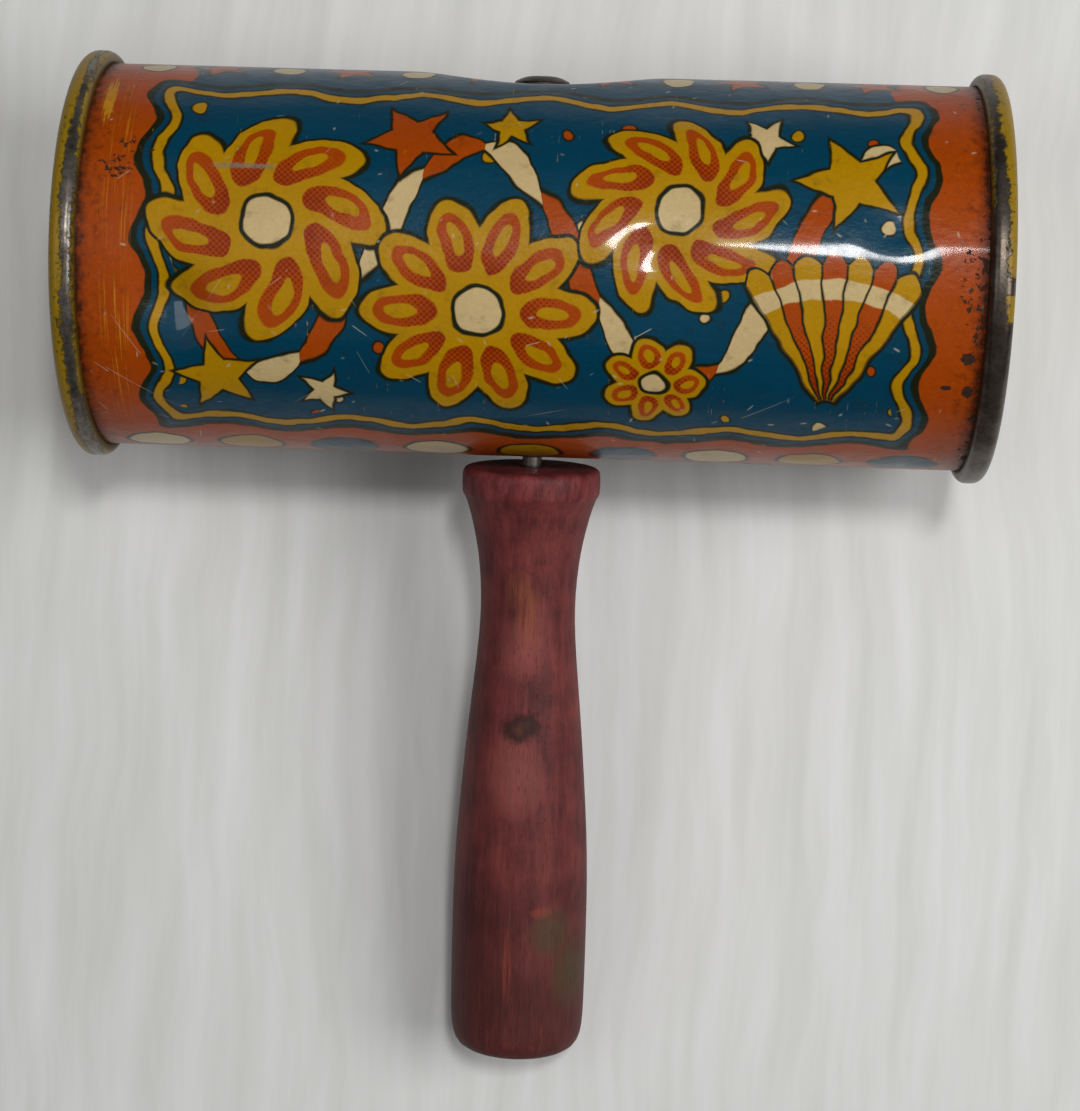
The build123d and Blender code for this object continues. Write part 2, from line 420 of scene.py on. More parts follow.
# Streamer: a twisted paper ribbon that weaves between the larger motifs.
streamer, (here, sway, length, start), gives = shader_group(
    "printed_streamer",
    {"Here": "Vector", "Sway": "Float", "Length": "Float", "Start": "Float"},
    {"Line": "Float", "Front": "Float", "Back": "Float"},
)
here_x, here_y, _ = parts(here)
wave = (here_x - start) * tau / length
lean = reckon("COSINE", wave) * sway * tau / length
gap = abs(here_y - reckon("SINE", wave) * sway) / reckon("SQRT", 1 + lean * lean)
curl = reckon("SINE", wave * 3.5 + 0.4)
width = 0.35 + 1.15 * abs(curl)
ribbon = inked(gap - width)
feed(streamer, inked(gap - width, 0.36), gives["Line"])
feed(streamer, ribbon * (curl > 0.0), gives["Front"])
feed(streamer, ribbon * (curl < 0.0), gives["Back"])

# Halftone: the printer's dots, larger where a shade is deeper.
halftone, (here, depth), gives = shader_group(
    "printed_halftone", {"Here": "Vector", "Depth": "Float"}, {"Dots": "Float"}
)
here_x, here_y, _ = parts(here)
dot_pitch = 0.46
dot_u = reckon("WRAP", (here_x + here_y) * (sqrt(0.5) / dot_pitch), 0.5, -0.5)
dot_v = reckon("WRAP", (here_x - here_y) * (sqrt(0.5) / dot_pitch), 0.5, -0.5)
dot_reach = reckon("SQRT", dot_u * dot_u + dot_v * dot_v)
feed(halftone, ease(dot_reach - depth * 0.62, 0.12, -0.12), gives["Dots"])

# The whole sheet: end bands, two like panels in wavy frames, and two strips between
# them. Round is the way round the can in mm, from the middle of the face.
turn_length = tau * can_radius
print_sheet, (along, round_can), gives = shader_group(
    "printed_sheet", {"Along": "Float", "Round": "Float"}, {"Ink": "Color"}
)
flat = joined(along, round_can, 0.0)
wobble = mottle(flat, 0.30, 1.5, 0.5, "Color")
wobble_x, wobble_y, _ = parts(wobble)
up_panel = reckon("FLOORED_MODULO", round_can + (turn_length / 4 - 1.6), turn_length / 2) - turn_length / 4
drawn_x = along + (wobble_x - 0.5) * 1.3
drawn_y = up_panel + (wobble_y - 0.5) * 1.3
drawn = joined(drawn_x, drawn_y, 0.0)

# End bands are orange, with the teal of the upper strip between them.
end_wave = reckon("SINE", drawn_y * (tau / 9.4) + 0.6) * 0.75
side_wave = reckon("SINE", drawn_x * (tau / 13.8) + 1.2) * 0.7
past_end = abs(drawn_x - 0.4) - (41.6 + end_wave)
past_side = abs(drawn_y) - (22.4 + side_wave)
panel = reckon("SMOOTH_MAX", past_end, past_side, 2.2)
ink = lay(orange_ink, teal_ink, inked(past_end, -3.0) * (drawn_y > 0.0))

# Upper strip: stars and dots in turn. Lower strip: three-coloured discs.
strip_cell = reckon("WRAP", drawn_x + 3.0, 7.2, -7.2)
strip_spot = joined(strip_cell, drawn_y, 0.0)
spot_line, spot_star = placed(print_sheet, star, Here=strip_spot, Middle=(-3.6, 28.3, 0), Size=3.0, Turn=0.3)
ink = lay(lay(ink, key_ink, spot_line), orange_ink, spot_star)
dot = reckon("SQRT", (strip_cell - 3.8) * (strip_cell - 3.8) + (drawn_y - 28.0) * (drawn_y - 28.0)) - 1.7
ink = lay(lay(ink, key_ink, inked(dot, 0.35)), cream_ink, inked(dot))
disc_turn = drawn_x / 10.4
disc_cell = reckon("WRAP", disc_turn, 0.5, -0.5) * 10.4
disc_kind = reckon("FLOORED_MODULO", reckon("ROUND", disc_turn), 3.0)
disc = reckon("SQRT", disc_cell * disc_cell * 0.55 + (drawn_y + 27.6) * (drawn_y + 27.6)) - 2.5
disc_ink = lay(yellow_ink, teal_ink, disc_kind > 0.5)
disc_ink = lay(disc_ink, cream_ink, disc_kind > 1.5)
ink = lay(lay(ink, key_ink, inked(disc, 0.4)), disc_ink, inked(disc))
strip_line = abs(abs(up_panel) - turn_length / 4)
ink = lay(ink, key_ink, inked(strip_line - 0.7))
ink = lay(ink, yellow_ink, inked(strip_line - 0.4))

# Panel ground in its frame: a dark line, a teal margin, then a yellow line.
ink = lay(ink, key_ink, inked(panel, 0.5))
ink = lay(ink, teal_ink, inked(panel, -0.35))
frame_line = abs(panel + 1.75)
ink = lay(ink, key_ink, inked(frame_line - 0.82))
ink = lay(ink, yellow_ink, inked(frame_line - 0.48))
field = inked(panel, -3.2)

# Confetti strewn over the field, then the streamer.
bit_x, bit_y, (bit_hue, bit_size, bit_there) = scattered(drawn, 6.4)
bit = reckon("SQRT", bit_x * bit_x + bit_y * bit_y) - 0.35 - bit_size * 0.5
bit_mask = field * (bit_there > 0.42)
bit_ink = lay(lay(yellow_ink, orange_ink, bit_hue > 0.40), cream_ink, bit_hue > 0.72)
ink = lay(ink, key_ink, inked(bit, 0.24) * bit_mask)
ink = lay(ink, bit_ink, inked(bit) * bit_mask)
line, front, back = placed(print_sheet, streamer, Here=drawn, Sway=13.2, Length=44.5, Start=-17.2)
ink = lay(ink, key_ink, line * field)
ink = lay(ink, cream_ink, front * field)
ink = lay(ink, orange_ink, back * field)

# Stars in the gaps.
for star_x, star_y, star_size, star_turn, star_ink in (
    (-33.5, -14.0, 4.6, 0.2, yellow_ink),
    (-22.0, -15.6, 2.6, 0.9, cream_ink),
    (-13.2, 14.2, 4.8, 0.5, orange_ink),
    (-2.6, 15.8, 2.8, 0.1, yellow_ink),
    (24.6, 15.4, 3.0, 0.7, cream_ink),
    (33.6, 10.0, 5.6, 0.35, yellow_ink),
):
    line, filled = placed(
        print_sheet, star, Here=drawn, Middle=(star_x, star_y, 0), Size=star_size, Turn=star_turn
    )
    ink = lay(lay(ink, key_ink, line), star_ink, filled)

# Rosettes from left to right in a zigzag, then one fan.
for rose_x, rose_y, rose_size, rose_petals, rose_twist in (
    (-28.0, 3.6, 12.8, 8.0, 0.85),
    (-5.4, -5.4, 12.6, 10.0, 0.0),
    (15.6, 6.2, 11.6, 9.0, -0.85),
    (13.6, -13.2, 5.6, 7.0, 0.0),
):
    line, petal, cell, eye, button, shade = placed(
        print_sheet, rosette,
        Here=drawn, Middle=(rose_x, rose_y, 0), Size=rose_size, Petals=rose_petals, Twist=rose_twist,
    )
    dots, = placed(print_sheet, halftone, Here=flat, Depth=shade)
    ink = lay(lay(ink, key_ink, line), yellow_ink, petal)
    ink = lay(ink, orange_ink, cell)
    ink = lay(ink, deep_orange_ink, cell * dots)
    ink = lay(ink, yellow_ink, eye)
    ink = lay(ink, cream_ink, button)
line, leaf, pleat, band, shade = placed(
    print_sheet, fan, Here=drawn, Middle=(32.0, -16.6, 0), Size=18.5, Spread=0.56, Pleats=7.0
)
dots, = placed(print_sheet, halftone, Here=flat, Depth=shade)
ink = lay(lay(ink, yellow_ink, leaf), orange_ink, pleat)
ink = lay(ink, deep_orange_ink, pleat * dots)
ink = lay(lay(ink, cream_ink, band), key_ink, line)
feed(print_sheet, ink, gives["Ink"])

# Nicks: specks, short bright scratches and a few long faint ones, strewn over a surface,
# each at its own slant.
nicks, (here, share), gives = shader_group(
    "handling_nicks", {"Here": "Vector", "Share": "Float"}, {"Nicks": "Float"}
)
nick_mask = None
for cell_size, longest, breadth, clear in (
    (3.3, 0.22, 0.10, 0.7),
    (5.6, 0.9, 0.045, 0.8),
    (13.0, 6.0, 0.04, 0.42),
):
    nick_x, nick_y, (slant, run, there) = scattered(here, cell_size)
    angle = slant * pi
    nick_u = nick_x * reckon("COSINE", angle) + nick_y * reckon("SINE", angle)
    nick_v = nick_y * reckon("COSINE", angle) - nick_x * reckon("SINE", angle)
    long_enough = ease(abs(nick_u) - run * longest, 0.25, -0.05)
    one_nick = ease(abs(nick_v), breadth * 1.5, breadth * 0.7) * long_enough * (there < share) * clear
    nick_mask = one_nick if nick_mask is None else reckon("MAXIMUM", nick_mask, one_nick)
feed(nicks, nick_mask, gives["Nicks"])

# Flakes: specks where the coat has come off, thicker where the wear is heavier.
flakes, (here, wear), gives = shader_group(
    "flaked_coat", {"Here": "Vector", "Wear": "Float"}, {"Bare": "Float", "Edge": "Float"}
)
fleck = mottle(here, 1.35, 4.0, 0.64) + (wear - 1) * 0.42
feed(flakes, ease(fleck, 0.50, 0.53), gives["Bare"])
feed(flakes, ease(fleck, 0.47, 0.53), gives["Edge"])

# Printed tin: the ink sheet under a thin varnish, with handling wear. Wear is heavy
# beside the curled rims and in two clusters of chips on the left band.
printed_tin, tree, shader, point = finish_of("printed_tin")
along, up, out = parts(point)
round_can = reckon("ARCTAN2", up, out) * can_radius
flat = joined(along, round_can, 0.0)
ink, = placed(tree, print_sheet, Along=along, Round=round_can)


def spot(x, y, half_x, half_y):
    """One at a place on the sheet, falling to nothing round it."""
    far_x = (along - x) / half_x
    far_y = (round_can - y) / half_y
    return ease(far_x * far_x + far_y * far_y, 1.0, 0.0)


cloud = mottle(flat, 0.09, 3.0, 0.55)
fine_cloud = mottle(flat, 1.7, 3.0, 0.6)
grain = mottle(flat, 4.6, 2.0, 0.6)
ink = shaded(ink, 0.70 + cloud * 0.24 + fine_cloud * 0.20 + grain * 0.16)

# Rubbed lines run round the left band, where the yellow under-print shows.
streak = mottle(stretched(flat, 5.0, 0.10, 1.0), 1.0, 3.0, 0.62)
scuff = ease(streak, 0.55, 0.66) * spot(-44.2, 2.0, 2.2, 27.0) * 0.65
bared = ease(spot(-46.3, 20.6, 1.0, 5.2) + (streak - 0.5) * 2.4 + (fine_cloud - 0.5) * 0.9, 0.50, 0.68)
scuff = reckon("MAXIMUM", scuff, bared * 0.85)
ink = lay(ink, paint(190, 134, 24), scuff)

# One long scrape has taken the ink off down to grey metal.
scrape_bend = (fine_cloud - 0.5) * 0.5
scrape = ease(abs(round_can - 11.4 - scrape_bend), 0.40, 0.22) * ease(abs(along + 30.8), 3.6, 2.4)
scrape = scrape * ease(mottle(flat, 2.6, 3.0, 0.6), 0.36, 0.50)
ink = lay(ink, paint(122, 112, 92), scrape * 0.85)

# Grime gathers in a film of faint stains and beside the curled rims, where the darkening close to each rim is
# dirt and also painted shade of the curl.
corner = ease(abs(along), 46.4, 48.2)
grime_and_rim_shade = ease(mottle(flat, 0.55, 4.0, 0.65), 0.56, 0.74) * 0.30
# Painted shade and dirt: darker close beside each rim, where the curl shades the sleeve.
grime_and_rim_shade = grime_and_rim_shade + corner * corner * ease(mottle(flat, 0.8, 3.0, 0.6), 0.30, 0.62, 0.35, 0.95)
grime_and_rim_shade = grime_and_rim_shade + ease(abs(along), 42.5, 48.5) * ease(mottle(flat, 1.1, 5.0, 0.7), 0.40, 0.72) * 0.55
ink = lay(ink, paint(34, 16, 8), reckon("MINIMUM", grime_and_rim_shade, 0.9))

# Chips: two clusters on the left band, and many beside the right rim.
wear = ease(abs(along), 44.6, 48.2) * ease(along, -1.0, 1.0, 0.60, 0.92)
for chip_x, chip_y, half_x, half_y in ((-42.3, 13.6, 2.6, 1.6), (-44.4, 11.0, 3.0, 1.8)):
    wear = reckon("MAXIMUM", wear, reckon("MINIMUM", spot(chip_x, chip_y, half_x, half_y) * 2.0, 0.86))
wear = reckon("MAXIMUM", wear, spot(48.2, 0.0, 3.0, 19.0))
wear = reckon("MAXIMUM", wear, spot(46.4, 1.0, 2.4, 11.0) * 0.88)
wear = reckon("MAXIMUM", wear, 0.40)
bare, chip_edge = placed(tree, flakes, Here=point, Wear=wear)
old_chip = reckon("MAXIMUM", spot(46.6, -7.4, 0.95, 0.85), spot(46.9, -11.4, 0.75, 0.9))
old_chip = reckon("MAXIMUM", old_chip, spot(44.6, -11.0, 0.7, 0.4))
old_chip = ease(old_chip + (mottle(flat, 1.9, 3.0, 0.6) - 0.5) * 1.3, 0.28, 0.40)
bare = reckon("MAXIMUM", bare, old_chip)
rust = lay(paint(34, 20, 14), paint(70, 46, 32), mottle(point, 2.6))
ink = lay(ink, paint(40, 14, 8), chip_edge * 0.5)
ink = lay(ink, rust, bare)
nick, = placed(tree, nicks, Here=flat, Share=0.28)
nick = nick * ease(mottle(flat, 0.11, 2.0), 0.42, 0.60)
ink = lay(ink, paint(186, 178, 156), nick * 0.8)
feed(tree, ink, shader.inputs["Base Color"])
haze = 0.23 + cloud * 0.10 + fine_cloud * 0.10 + scuff * 0.2 + corner * 0.15
feed(tree, haze + reckon("MAXIMUM", bare, scrape) * 0.3, shader.inputs["Roughness"])

# Varnish: worn thin in clouds, thinner on the end bands, whole in the hollow of the left dent.
gloss = ease(mottle(flat, 0.42, 4.0, 0.62), 0.36, 0.60, 0.15, 0.30) * ease(abs(along), 41.0, 45.0, 1.0, 0.60)
gloss = gloss + spot(-36.3, -5.0, 5.0, 5.0) * 0.8
feed(tree, gloss * ease(bare + nick + scrape, 0.0, 1.0, 1.0, 0.0), shader.inputs["Coat Weight"])
shader.inputs["Coat Roughness"].default_value = 0.08
shader.inputs["Specular IOR Level"].default_value = 0.12
ripple = mottle(flat, 0.16, 1.0) * 3.4 + mottle(stretched(flat, 0.45, 0.7, 1.0), 1.0, 4.0, 0.62) * 2.0
raised(tree, shader, ripple - bare * 0.35 - nick * 0.25 - scrape * 0.2, 0.06)

# Mesh: an open tube of quads, its ends turned out, pressed in round the nail and
# at each dent, and raised along the lap.
sleeve_mesh = bmesh.new()
bmesh.ops.create_cone(
    sleeve_mesh, cap_ends=False, segments=sleeve_round_steps, radius1=can_radius, radius2=can_radius,
    depth=sleeve_half * 2, matrix=Matrix.Rotation(pi / 2, 4, "Y"),
)
rulings = [edge for edge in sleeve_mesh.edges if abs(edge.verts[0].co.x - edge.verts[1].co.x) > 1]
bmesh.ops.subdivide_edges(sleeve_mesh, edges=rulings, cuts=sleeve_long_cuts, use_grid_fill=True)
open_ends = [edge for edge in sleeve_mesh.edges if edge.is_boundary]
flange = bmesh.ops.extrude_edge_only(sleeve_mesh, edges=open_ends)["geom"]
for vert in (item for item in flange if isinstance(item, bmesh.types.BMVert)):
    vert.co *= flange_radius / can_radius
    vert.co.x = flange_half if vert.co.x > 0 else -flange_half
for lap_line in (lap_half, lap_half - lap_lip, -lap_half, lap_ramp - lap_half):
    low_side = [v for v in sleeve_mesh.verts if v.co.z < 0]
    low_set = set(low_side)
    cut = low_side + [e for e in sleeve_mesh.edges if low_set.issuperset(e.verts)]
    cut += [f for f in sleeve_mesh.faces if low_set.issuperset(f.verts)]
    bmesh.ops.bisect_plane(sleeve_mesh, geom=cut, plane_co=(0, lap_line, 0), plane_no=(0, 1, 0), dist=1e-5)
nail_holes = [
    face
    for face in sleeve_mesh.faces
    if hypot(face.calc_center_median().x, face.calc_center_median().z) < nail_hole
]
bmesh.ops.delete(sleeve_mesh, geom=nail_holes, context="FACES")
for vert in sleeve_mesh.verts:
    along_can, up_nail, out_face = vert.co
    if abs(along_can) > sleeve_half - 0.1:
        continue
    angle = atan2(up_nail, out_face)
    height = 0.0
    for dent_along, dent_angle, half_along, half_round, depth in dents:
        swing = (angle - radians(dent_angle) + pi) % tau - pi
        across = swing * can_radius / half_round
        height -= depth * exp(-(((along_can - dent_along) / half_along) ** 2) - across * across)
    if out_face < 0 and abs(along_can) < lap_reach and -lap_half <= up_nail <= lap_half - 0.05:
        height += sheet * min((up_nail + lap_half) / lap_ramp, 1.0)
    vert.co.y *= 1 + height / can_radius
    vert.co.z *= 1 + height / can_radius
    from_nail = hypot(vert.co.x, vert.co.z)
    climb = dent_slope * max(from_nail - dent_floor, 0)
    if vert.co.y > 10:
        vert.co.y = soft_least(vert.co.y, upper_seat + climb, upper_blend)
    elif vert.co.y < -10:
        vert.co.y = -soft_least(-vert.co.y, lower_seat + climb, lower_blend)
sleeve = made_piece("rolled_sleeve", sleeve_mesh, printed_tin, "drum", "printed_tin", "sleeve")
sheet_wall(sleeve, sheet)

# Eyelets: small steel tubes through the dented seats, with a lip turned over on
# each side of the sheet. The nail turns in them, and they have gone dark with oil.
eyelet_bore = 1.18
eyelet_barrel = 1.48
eyelet_lip = 1.90
lip_thickness = 0.35
lip_gap = 0.02


def rim_edges(mesh, place, radius, axis):
    """The ring of edges at one place along a turned shape, at one radius from its axis."""
    off = [i for i in range(3) if i != axis]
    return [
        edge
        for edge in mesh.edges
        if all(
            abs(v.co[axis] - place) < 1e-4 and abs(hypot(v.co[off[0]], v.co[off[1]]) - radius) < 1e-3
            for v in edge.verts
        )
    ]


# Tarnish: cloudy dark film on old steel, with fine rubbing marks.
tarnish, (here, shade, bright), gives = shader_group(
    "steel_tarnish",
    {"Here": "Vector", "Shade": "Color", "Bright": "Color"},
    {"Steel": "Color", "Dull": "Float", "Height": "Float"},
)
film = mottle(here, 0.35, 4.0, 0.6)
specks = mottle(here, 2.4, 4.0, 0.65)
rubbed = mottle(stretched(here, 6.0, 1.0, 6.0), 1.0, 2.0, 0.5)
coat = ease(film + specks * 0.4, 0.52, 0.86)
rust_specks = ease(specks, 0.66, 0.74) * 0.6
feed(tarnish, lay(lay(shade, bright, coat), paint(62, 38, 24), rust_specks), gives["Steel"])
feed(tarnish, 0.34 + film * 0.14 + specks * 0.16, gives["Dull"])
feed(tarnish, specks * 0.7 + rubbed * 0.4, gives["Height"])

dark_steel, tree, shader, point = finish_of("dark_steel")
steel, dull, height = placed(tree, tarnish, Here=point, Shade=paint(46, 42, 38), Bright=paint(120, 116, 108))
feed(tree, steel, shader.inputs["Base Color"])
feed(tree, dull, shader.inputs["Roughness"])
shader.inputs["Metallic"].default_value = 0.9
raised(tree, shader, height, 0.02)

for name, node, seat, outward in (
    ("upper_eyelet_ring", "upper_eyelet", upper_seat, 1),
    ("lower_eyelet_ring", "lower_eyelet", -lower_seat, -1),
):
    lip_top = seat + outward * (lip_gap + lip_thickness)
    lip_foot = seat + outward * lip_gap
    back_top = seat - outward * (sheet + lip_gap)
    back_foot = back_top - outward * lip_thickness
    eyelet_mesh = bmesh.new()
    outline = [
        eyelet_mesh.verts.new((radius, height, 0))
        for radius, height in (
            (eyelet_bore, lip_top), (eyelet_lip, lip_top),
            (eyelet_lip, lip_foot), (eyelet_barrel, lip_foot),
            (eyelet_barrel, back_top), (eyelet_lip, back_top),
            (eyelet_lip, back_foot), (eyelet_bore, back_foot),
        )
    ]
    ring = [eyelet_mesh.edges.new((a, b)) for a, b in zip(outline, outline[1:] + outline[:1])]
    bmesh.ops.spin(
        eyelet_mesh, geom=outline + ring, cent=(0, 0, 0), axis=(0, 1, 0), angle=tau, steps=40, use_merge=True
    )
    for edge_height in (lip_top, back_foot):
        for edge_radius, round_off in ((eyelet_lip, 0.16), (eyelet_bore, 0.1)):
            bmesh.ops.bevel(
                eyelet_mesh, geom=rim_edges(eyelet_mesh, edge_height, edge_radius, 1), offset=round_off,
                segments=3, profile=0.5, affect="EDGES", material=-1,
            )
    made_piece(name, eyelet_mesh, dark_steel, "drum", "dark_steel", node)

# Ratchet wheel: sawn from plain hardwood, notched all round and driven on the nail.
# It is shut in the can, so it stays pale, with dark rubbed tooth tips.
bare_wood, tree, shader, point = finish_of("bare_wood")
fibre = mottle(stretched(point, 2.2, 0.16, 2.2), 1.0, 4.0, 0.6)
year = mottle(stretched(point, 0.5, 0.02, 0.9), 1.0, 2.0, 0.5)
rings = reckon("SINE", year * 46.0) * 0.5 + 0.5
along, _, out = parts(point)
tooth = ease(reckon("SQRT", along * along + out * out), 6.4, 8.0)
colour = lay(paint(186, 146, 98), paint(140, 98, 58), rings * 0.55)
colour = lay(colour, paint(104, 70, 40), ease(fibre, 0.52, 0.70) * 0.6)
colour = lay(colour, paint(58, 44, 36), tooth * ease(fibre, 0.30, 0.65) * 0.7)
feed(tree, colour, shader.inputs["Base Color"])
feed(tree, 0.62 + fibre * 0.2 - tooth * 0.15, shader.inputs["Roughness"])
raised(tree, shader, fibre + rings * 0.3, 0.05)
frame["nodes"]["ratchet_wheel"].data.materials.clear()
frame["nodes"]["ratchet_wheel"].data.materials.append(bare_wood)

# Spacers: short tubes rolled from steel strip, loose on the nail between the wheel
# and the eyelets. They share the dark steel of the eyelets.
for node in ("upper_spacer", "lower_spacer"):
    frame["nodes"][node].data.materials.clear()
    frame["nodes"][node].data.materials.append(dark_steel)

# Spring tongues and their feet: blue-tempered steel strip, folded to a V nose, the
# foot welded to the back of the cap. The rolling left fine lines along the strip.
spring_steel, tree, shader, point = finish_of("spring_steel")
steel, dull, height = placed(tree, tarnish, Here=point, Shade=paint(74, 78, 84), Bright=paint(150, 152, 152))
drawn_line = mottle(stretched(point, 0.06, 9.0, 9.0), 1.0, 2.0, 0.5)
feed(tree, shaded(steel, 0.8 + drawn_line * 0.4), shader.inputs["Base Color"])
feed(tree, dull * 0.8 + drawn_line * 0.08, shader.inputs["Roughness"])
shader.inputs["Metallic"].default_value = 1.0
raised(tree, shader, height * 0.5 + drawn_line, 0.012)
for node in ("left_tongue", "right_tongue", "left_tongue_foot", "right_tongue_foot"):
    frame["nodes"][node].data.materials.clear()
    frame["nodes"][node].data.materials.append(spring_steel)

# End caps: dishes stamped from tin, painted yellow, with the rim curled over the
# sleeve's flange. Handling has rubbed the bead of the curl down to dark metal.
can_end = 51.0
hook_face = 48.2
rim_radius = 22.9
chuck_radius = 20.85
panel_face = 48.0
hook_foot = 21.55
rim_girth_radius = 22.0

cap_tin, tree, shader, point = finish_of("cap_tin")
along, up, out = parts(point)
steel, dull, height = placed(tree, tarnish, Here=point, Shade=paint(62, 56, 50), Bright=paint(124, 118, 110))
reach = reckon("SQRT", up * up + out * out)
turned = joined(abs(along), reckon("ARCTAN2", up, out) * rim_girth_radius, reach)
patch = mottle(stretched(turned, 0.5, 0.10, 0.5), 1.0, 3.0, 0.6)
ragged = mottle(point, 1.6, 4.0, 0.66)
is_right = along > 0.0
bead = abs(along) + (ragged - 0.5) * 1.5

# Left bead: a strip along its crest is bare. Right bead: bare but for a strip of paint
# along the outer edge of its upper half, a patch below that, and a thin line on the
# inner edge.
left_strip = 0.60 + (patch - 0.5) * 1.5 - ease(up, 7.0, 18.0) * 0.30 - abs(bead - 49.07)
jagged = mottle(stretched(turned, 0.4, 0.9, 0.4), 1.0, 4.0, 0.65) - 0.5
painted = reckon("MAXIMUM", up - 1.3, 1.6 - abs(up + 1.7)) + jagged * 3.0
painted = reckon("MINIMUM", painted * 0.5, bead - 50.0 + ease(up, 10.0, 18.0) * 0.7 + jagged * 1.6)
inner_line = 48.52 - bead - ease(up, 9.0, 2.0) * 2.0 + jagged * 0.8
right_strip = 0 - reckon("MAXIMUM", painted, inner_line)
rubbed_off = left_strip + (right_strip - left_strip) * is_right
rubbed_off = rubbed_off - ease(reach, 22.1, 21.7) * 3.0
bare = ease(rubbed_off, 0.0, 0.07)
bare_edge = ease(rubbed_off, -0.24, 0.0)
panel_marks, = placed(tree, nicks, Here=joined(up, out, 0.0), Share=0.6)
yellow_paint = shaded(lay(paint(154, 120, 6), paint(120, 98, 18), patch), 0.74 + ragged * 0.46)
yellow_paint = lay(yellow_paint, paint(54, 42, 18), ease(ragged, 0.56, 0.66) * 0.7)
yellow_paint = lay(yellow_paint, paint(48, 34, 18), ease(reach, 19.6, 20.8) * ease(reach, 21.2, 20.9) * 0.5)
# Painted shade: the inner face of the curl, in the recess against the sleeve, is darkened.
hook_recess_shade = ease(abs(along), 48.6, 48.15) * ease(reach, 21.4, 21.8) * 0.85
yellow_paint = lay(yellow_paint, paint(40, 28, 14), hook_recess_shade)
yellow_paint = lay(yellow_paint, paint(150, 142, 122), panel_marks * ease(reach, 20.6, 20.2) * 0.8)
old_steel = lay(steel, paint(58, 46, 34), is_right * 0.6)
colour = lay(lay(yellow_paint, paint(24, 18, 10), bare_edge * 0.9), old_steel, bare)
feed(tree, colour, shader.inputs["Base Color"])
feed(tree, bare * 0.8, shader.inputs["Metallic"])
shader.inputs["Specular IOR Level"].default_value = 0.25
feed(tree, ease(bare, 0.0, 1.0, 0.36, 0.30) + ragged * 0.16 - 0.06, shader.inputs["Roughness"])
raised(tree, shader, (1 - bare) * 0.8 + height * 0.3 + ragged * 0.3 - panel_marks * 0.3, 0.05)

for side, outward in (("left", -1), ("right", 1)):
    cap_mesh = bmesh.new()
    corners = (
        (panel_face, 0.0), (panel_face, chuck_radius), (can_end, chuck_radius),
        (can_end, rim_radius), (hook_face, rim_radius), (hook_face, hook_foot),
    )
    stamped = [cap_mesh.verts.new((outward * x, r, 0)) for x, r in corners]
    profile = [cap_mesh.edges.new(pair) for pair in zip(stamped, stamped[1:])]
    bmesh.ops.spin(
        cap_mesh, geom=stamped + profile, cent=(0, 0, 0), axis=(1, 0, 0), angle=tau, steps=144, use_merge=True
    )
    bmesh.ops.remove_doubles(cap_mesh, verts=cap_mesh.verts, dist=1e-4)
    for x, r, round_off in (
        (panel_face, chuck_radius, 0.5),
        (can_end, chuck_radius, 0.75),
        (can_end, rim_radius, 1.15),
        (hook_face, rim_radius, 1.0),
    ):
        bmesh.ops.bevel(
            cap_mesh, geom=rim_edges(cap_mesh, outward * x, r, 0), offset=round_off, segments=6,
            profile=0.5, affect="EDGES", material=-1,
        )
    cap = made_piece(f"{side}_curled_cap", cap_mesh, cap_tin, "drum", "cap_tin", f"{side}_end_cap")
    sheet_wall(cap, sheet)

# Axle nail: a wire nail with a raised head, pushed through both eyelets, the spacers
# and the wheel, and driven into the handle. The head is black with age, and the
# shaft is rubbed bright where it shows below the can; just above the handle it is
# left dark, as dirt and painted shade from the handle.
nail_radius = 1.1
head_seat = 20.37
head_radius = 3.1
head_height = 1.0
head_edge = 0.36
crown_radius = 1.7
nail_tip = -43.13
nail_point = 3.0
nail_finish, tree, shader, point = finish_of("nail_steel")
_, up, _ = parts(point)
steel, dull, height = placed(tree, tarnish, Here=point, Shade=paint(40, 34, 30), Bright=paint(92, 84, 76))
# The bright band fades out just above the handle: painted shade and dirt there.
rubbed_shank_with_shade = ease(up, -21.0, -21.4) * ease(up, -22.7, -22.2)
colour = lay(steel, paint(178, 174, 166), rubbed_shank_with_shade * 0.85)
feed(tree, colour, shader.inputs["Base Color"])
feed(tree, dull * (1 - rubbed_shank_with_shade * 0.45), shader.inputs["Roughness"])
shader.inputs["Metallic"].default_value = 0.9
raised(tree, shader, height * ease(up, 18.0, 20.0, 0.3, 1.0), 0.04)
nail_mesh = bmesh.new()
turned = [
    nail_mesh.verts.new((radius, height, 0))
    for radius, height in (
        (0.0, head_seat + head_height),
        (crown_radius, head_seat + head_height),
        (head_radius, head_seat + head_edge),
        (head_radius, head_seat),
        (nail_radius, head_seat),
        (nail_radius, nail_tip + nail_point),
        (0.0, nail_tip),
    )
]
profile = [nail_mesh.edges.new(pair) for pair in zip(turned, turned[1:])]
bmesh.ops.spin(
    nail_mesh, geom=turned + profile, cent=(0, 0, 0), axis=(0, 1, 0), angle=tau, steps=56, use_merge=True
)
bmesh.ops.remove_doubles(nail_mesh, verts=nail_mesh.verts, dist=1e-4)
for edge_height, edge_radius, round_off in (
    (head_seat + head_height, crown_radius, 0.7),
    (head_seat + head_edge, head_radius, 0.2),
    (head_seat, head_radius, 0.1),
):
    bmesh.ops.bevel(
        nail_mesh, geom=rim_edges(nail_mesh, edge_height, edge_radius, 1), offset=round_off, segments=4,
        profile=0.5, affect="EDGES", material=-1,
    )
made_piece("wire_nail", nail_mesh, nail_finish, "handle", "dark_steel", "axle_nail")

